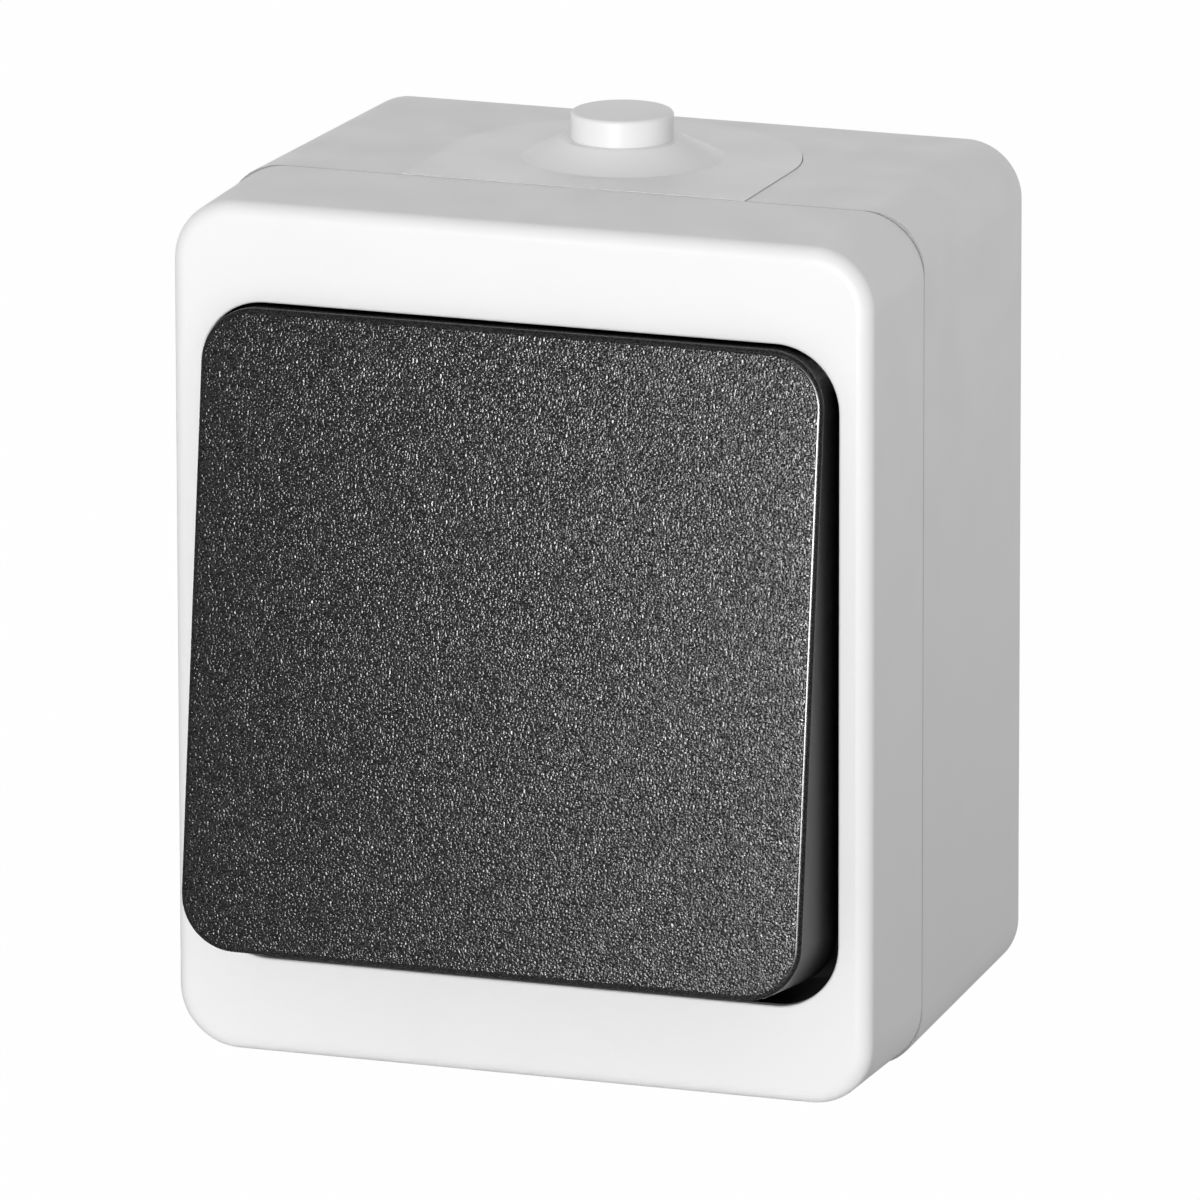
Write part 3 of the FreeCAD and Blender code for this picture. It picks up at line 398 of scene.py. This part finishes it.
box_white = white_plastic("box_white", HOUSING_WHITE, change=0.012, rough=(0.36, 0.46))
shaded_rim(box_white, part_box("front_cover")[1][1])
dress("back_box", box_white)
cover_white = white_plastic("cover_white", HOUSING_WHITE, change=0.012, rough=(0.36, 0.46))
dress("front_cover", cover_white)


# Cable entry. A separate plate of the same white plastic that closes the notch in the box's top
# wall, with the stepped cone and its closed tip. It is a touch smoother than the housing.
ENTRY_WHITE = (0.885, 0.885, 0.883)

entry_white = white_plastic("entry_white", ENTRY_WHITE, change=0.01, rough=(0.3, 0.4))
dress("cable_entry", entry_white)


# Inner tray. One black moulding that lines the window behind the cover's thin white lip. Its
# walls are polished, so they mirror the rocker's skirt.
TRAY_BLACK = (0.012, 0.012, 0.013)

tray_black = moulded(
    "tray_black", TRAY_BLACK, change=0.15, grain=0.0002, wave=0.01, depth=0.000002, rough=(0.1, 0.18)
)
dress("inner_tray", tray_black)


# Seals. A square ring of black rubber in the seam and a flat one round the tray's opening, both
# cut from matt rubber with a dusty skin.
SEAL_BLACK = (0.03, 0.03, 0.03)

seal_rubber = moulded(
    "seal_rubber", SEAL_BLACK, change=0.2, grain=0.00015, wave=0.004, depth=0.00001, rough=(0.75, 0.9)
)
dress("cover_gasket", seal_rubber)
dress("tray_seal", seal_rubber)


# Screws. Zinc-plated steel screws with slotted pan heads: two hold the tray and cover, two the
# mechanism, three clamp the wires. The thread is a run of fine rings on the shank.
ZINC = (0.62, 0.62, 0.61)
ZINC_SHADE = 0.8
CLOUD_SIZE = 0.0012
THREAD_PITCH = 0.0006
THREAD_DEPTH = 0.00012
THREAD_STRENGTH = 0.8
HEAD_HEIGHTS = {"cover_screws": 0.002, "mechanism_screws": 0.002, "terminal_screws": 0.0016}


def plated_steel(name, colour, seat):
    """Turned and plated steel: rings of the thread along Y behind the head, clouds on the zinc.

    The thread's height is a triangle wave of y with the pitch as its period, and it starts
    behind the seat of the head.
    """
    material, nodes, links, shader = bare_material(name)
    place = nodes.new("ShaderNodeTexCoord").outputs["Object"]
    depth = one_axis(nodes, links, place, "Y")
    wave = math_node(nodes, links, "PINGPONG", depth, THREAD_PITCH / 2)
    ridge = math_node(nodes, links, "MULTIPLY", wave, 2 / THREAD_PITCH)
    behind = math_node(nodes, links, "GREATER_THAN", depth, seat)
    thread = math_node(nodes, links, "MULTIPLY", ridge, behind)
    cloud = noise(nodes, links, place, 1 / CLOUD_SIZE, detail=3.0)
    dark = [channel * ZINC_SHADE for channel in colour]
    links.new(tinted(nodes, links, cloud, dark, colour), shader.inputs["Base Color"])
    links.new(over_noise(nodes, links, cloud, 0.28, 0.42), shader.inputs["Roughness"])
    shader.inputs["Metallic"].default_value = 1.0
    relief(nodes, links, shader, thread, THREAD_DEPTH, THREAD_STRENGTH)
    return material


for screws, head_height in HEAD_HEIGHTS.items():
    head_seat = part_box(screws)[0][1] + head_height
    dress(screws, plated_steel(screws + "_zinc", ZINC, head_seat))


# Mechanism frame and base. The frame with its bearing ears is a light grey thermoplastic, the
# base that holds the contacts is a darker, matt heat-resistant moulding.
FRAME_GREY = (0.5, 0.51, 0.52)
BASE_GREY = (0.24, 0.25, 0.26)

frame_grey = moulded(
    "frame_grey", FRAME_GREY, change=0.03, grain=0.0002, wave=0.005, depth=0.000006, rough=(0.4, 0.5)
)
dress("mechanism_frame", frame_grey)
base_grey = moulded(
    "base_grey", BASE_GREY, change=0.08, grain=0.0003, wave=0.004, depth=0.00001, rough=(0.55, 0.7)
)
dress("mechanism_base", base_grey)


# Current paths. Strips, cages and the seesaw bridge are stamped from brass sheet, with fine
# rolling lines. The contact rivets are a bright silver alloy.
BRASS = (0.75, 0.56, 0.27)
SILVER = (0.86, 0.85, 0.82)
ROLL_LINE = 0.00008
ROLL_STRETCH = 40
ROLL_DEPTH = 0.000004
STAIN_SIZE = 0.002
STAIN_SHADE = 0.82


def rolled_metal(name, colour, rough):
    """Sheet metal: a noise drawn out forty times along X gives the rolling lines and the sheen."""
    material, nodes, links, shader = bare_material(name)
    place = nodes.new("ShaderNodeTexCoord").outputs["Object"]
    drawn = vector_node(nodes, links, "MULTIPLY", place, (1 / ROLL_STRETCH, 1, 1))
    lines = noise(nodes, links, drawn, 1 / ROLL_LINE)
    stain = noise(nodes, links, place, 1 / STAIN_SIZE, detail=3.0)
    dark = [channel * STAIN_SHADE for channel in colour]
    links.new(tinted(nodes, links, stain, dark, colour), shader.inputs["Base Color"])
    links.new(over_noise(nodes, links, lines, *rough), shader.inputs["Roughness"])
    shader.inputs["Metallic"].default_value = 1.0
    relief(nodes, links, shader, lines, ROLL_DEPTH)
    return material


terminal_brass = rolled_metal("terminal_brass", BRASS, rough=(0.22, 0.38))
for brass_part in (
    "terminal_clamps",
    "upper_terminal",
    "lower_terminal",
    "common_terminal",
    "contact_bridge",
):
    dress(brass_part, terminal_brass)
contact_silver = rolled_metal("contact_silver", SILVER, rough=(0.15, 0.28))
dress("fixed_contacts", contact_silver)
dress("moving_contacts", contact_silver)


# Rocker cap: the key that the finger tips. Black plastic, with a spark-eroded, slightly crowned
# face that ends on the rounded rim, and a smooth satin skirt.
KEY_BLACK = (0.006, 0.006, 0.0062)
KEY_GREY = (0.026, 0.026, 0.0265)
PIT_SIZE = 0.00018
PIT_DEPTH = 0.000065
PIT_BLACK = 0.35
PIT_GREY = 0.65
FACE_FADE = 0.00006
FACE_ROUGH = 0.21
FACE_SHINE = 0.5
FACE_HALF = 0.028
CROWN = 0.0007
UPRIGHT_SHARE = 0.6
EDGE_FALL = 0.000012
EDGE_POWER = 8.0
SOFT_EDGE = 0.93
SOFT_END = 1.03
SOFT_GRAIN = 0.92
RIM_START = 0.00004
RIM_END = 0.0007
RIM_POWER = 1.3
RIM_SHINE = 0.66
SKIRT_START = 0.0003
SKIRT_ROUGH = 0.27
SKIRT_SHINE = 0.2
SKIRT_LEAN = 0.09


def joint_named(name):
    """The frame's joint of that name."""
    return next(joint for joint in frame["joints"] if joint["name"] == name)


def mesh_points(node):
    """All points of a CAD node's mesh, one per row."""
    mesh = frame["nodes"][node].data
    points = np.empty(len(mesh.vertices) * 3)
    mesh.vertices.foreach_get("co", points)
    return points.reshape(-1, 3)


def face_plane(node):
    """Outward direction and distance of the key's flat face, from the joint's half travel."""
    tilt = math.radians(sum(joint_named("rocker_tilt")["range_deg"])) / 2
    direction = np.array((0.0, -math.cos(tilt), math.sin(tilt)))
    return direction, float((mesh_points(node) @ direction).max())


def key_height(nodes, links, place, along, pits, distance):
    """Height of the key's skin over its pits' depth.

    Pits are whole on the face, gone at twice the fade behind its plane, and a little shallower at
    the far left and right. From them go the crown times u squared plus the edge fall times the
    eighth power of x, where x, and u with a share of the upright, run from 0 in the middle to
    about 1 at the edges. The last part rises evenly along the face's direction: it does nothing
    on the face, and leans the skirt's normal back as if the skirt widened to the front.
    """
    face = spread(nodes, links, along, distance - 2 * FACE_FADE, distance - FACE_FADE, 0, 1)
    scale = (1 / FACE_HALF, 0, UPRIGHT_SHARE / FACE_HALF)
    flat = vector_node(nodes, links, "MULTIPLY", place, scale)
    square = vector_node(nodes, links, "DOT_PRODUCT", flat, flat)
    aside = math_node(nodes, links, "ABSOLUTE", one_axis(nodes, links, flat, "X"))
    edge = math_node(nodes, links, "POWER", aside, EDGE_POWER)
    crown = math_node(nodes, links, "MULTIPLY", square, CROWN / PIT_DEPTH)
    fall = math_node(nodes, links, "MULTIPLY_ADD", edge, EDGE_FALL / PIT_DEPTH, crown)
    fade = spread(nodes, links, aside, SOFT_EDGE, SOFT_END, 1.0, SOFT_GRAIN)
    pitted = math_node(nodes, links, "MULTIPLY", pits, face)
    grain = math_node(nodes, links, "MULTIPLY", pitted, fade)
    fallen = math_node(nodes, links, "SUBTRACT", grain, fall)
    return math_node(nodes, links, "MULTIPLY_ADD", along, SKIRT_LEAN / PIT_DEPTH, fallen)


def rim_normal(nodes, links, direction, along, distance):
    """Normal that stays the face's on the first part of the rim and becomes the rim's own.

    The share of its own is a power of the depth behind the face's plane, from 0 at the rim's
    start to 1 at its end.
    """
    past = spread(nodes, links, along, distance - RIM_END, distance - RIM_START, 1, 0)
    share = math_node(nodes, links, "POWER", past, RIM_POWER)
    ahead = nodes.new("ShaderNodeVectorTransform")
    ahead.vector_type = "NORMAL"
    ahead.convert_from = "OBJECT"
    ahead.convert_to = "WORLD"
    ahead.inputs[0].default_value = direction
    own = nodes.new("ShaderNodeNewGeometry").outputs["Normal"]
    return mixed(nodes, links, share, ahead.outputs[0], own, kind="VECTOR")


def key_plastic(name):
    """Black key plastic: a face speckled grey with its pits, a shinier rim, and a satin skirt.

    Face, rim and skirt follow each other with the distance along the face's outward direction.
    """
    material, nodes, links, shader = bare_material(name)
    direction, distance = face_plane("rocker_cap")
    place = nodes.new("ShaderNodeTexCoord").outputs["Object"]
    along = vector_node(nodes, links, "DOT_PRODUCT", place, direction)
    pits = noise(nodes, links, place, 1 / PIT_SIZE, detail=0.0)
    height = key_height(nodes, links, place, along, pits, distance)
    bump = relief(nodes, links, shader, height, PIT_DEPTH)
    links.new(rim_normal(nodes, links, direction, along, distance), bump.inputs["Normal"])
    speckle = spread(nodes, links, pits, PIT_BLACK, PIT_GREY, 0, 1)
    links.new(tinted(nodes, links, speckle, KEY_BLACK, KEY_GREY), shader.inputs["Base Color"])
    skirt = spread(nodes, links, along, distance - 2 * SKIRT_START, distance - SKIRT_START, 1, 0)
    rough = spread(nodes, links, skirt, 0, 1, FACE_ROUGH, SKIRT_ROUGH)
    links.new(rough, shader.inputs["Roughness"])
    rim_whole = distance - 2 * RIM_START
    rim = spread(nodes, links, along, rim_whole, distance - RIM_START, RIM_SHINE, FACE_SHINE)
    shine = spread(nodes, links, skirt, 0, 1, rim, SKIRT_SHINE)
    links.new(shine, shader.inputs["Specular IOR Level"])
    return material


dress("rocker_cap", key_plastic("key_black"))


# Cradle and plunger. Both are white self-lubricating plastic with a waxy shine. The cradle's pins
# turn in the frame's ears, and the plunger slides in its tube.
ACETAL_WHITE = (0.78, 0.78, 0.75)

acetal = moulded(
    "acetal_white",
    ACETAL_WHITE,
    change=0.02,
    grain=0.0003,
    wave=0.003,
    depth=0.000003,
    rough=(0.25, 0.35),
)
dress("rocker_cradle", acetal)
dress("plunger", acetal)


# Plunger spring. A coil of oiled, drawn spring wire in the cradle's tube. It stands for the rigid
# coil of the solids.
WIRE_STEEL = (0.45, 0.45, 0.47)
WIRE_RADIUS = 0.00025
WIRE_SIDES = 12
SPRING_TURNS = 5
STEPS_PER_TURN = 48


def spring_place(node, axis):
    """The spring's middle off its axis, its two ends along the axis, and its outer radius."""
    points = mesh_points(node)
    along = points @ axis
    flat = points - np.outer(along, axis)
    middle = (flat.min(axis=0) + flat.max(axis=0)) / 2
    return middle, along.min(), along.max(), np.linalg.norm(flat - middle, axis=1).max()


def spring_coil(name, middle, axis, start, end, radius):
    """Round wire wound on a helix, with its two ends closed.

    At the share t of the length, the wire's centre is the middle plus t of the way along the axis
    plus the radius in the direction that has turned by the number of turns times t. A ring of
    points stands round each centre, in the plane of that direction and the axis.
    """
    share = np.linspace(0, 1, SPRING_TURNS * STEPS_PER_TURN + 1)
    turn = 2 * math.pi * SPRING_TURNS * share
    sideways = np.array((1.0, 0.0, 0.0))
    outward = np.outer(np.cos(turn), sideways) + np.outer(np.sin(turn), np.cross(axis, sideways))
    along = start + WIRE_RADIUS + (end - start - 2 * WIRE_RADIUS) * share
    centres = middle + np.outer(along, axis) + (radius - WIRE_RADIUS) * outward
    angle = 2 * math.pi * np.arange(WIRE_SIDES) / WIRE_SIDES
    ring = np.cos(angle)[None, :, None] * outward[:, None] + np.sin(angle)[None, :, None] * axis
    points = (centres[:, None] + WIRE_RADIUS * ring).reshape(-1, 3)
    rings = np.arange(len(points)).reshape(-1, WIRE_SIDES)
    beside = np.roll(rings, -1, axis=1)
    sides = np.stack((rings[:-1], rings[1:], beside[1:], beside[:-1]), axis=-1).reshape(-1, 4)
    ends = [rings[0].tolist(), rings[-1, ::-1].tolist()]
    mesh = bpy.data.meshes.new(name)
    mesh.from_pydata(points.tolist(), [], sides.tolist() + ends)
    mesh.shade_smooth()
    piece = bpy.data.objects.new(name, mesh)
    bpy.context.scene.collection.objects.link(piece)
    return piece


slide = joint_named("plunger_slide")
slide_axis = np.array(slide["axis"])
spring_middle, spring_rear, spring_front, spring_radius = spring_place("plunger_spring", slide_axis)
spring = spring_coil(
    "plunger_spring_coil", spring_middle, slide_axis, spring_rear, spring_front, spring_radius
)
spring.data.materials.append(rolled_metal("spring_wire", WIRE_STEEL, rough=(0.25, 0.4)))
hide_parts("plunger_spring")
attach(spring, "rocker")
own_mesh(spring)
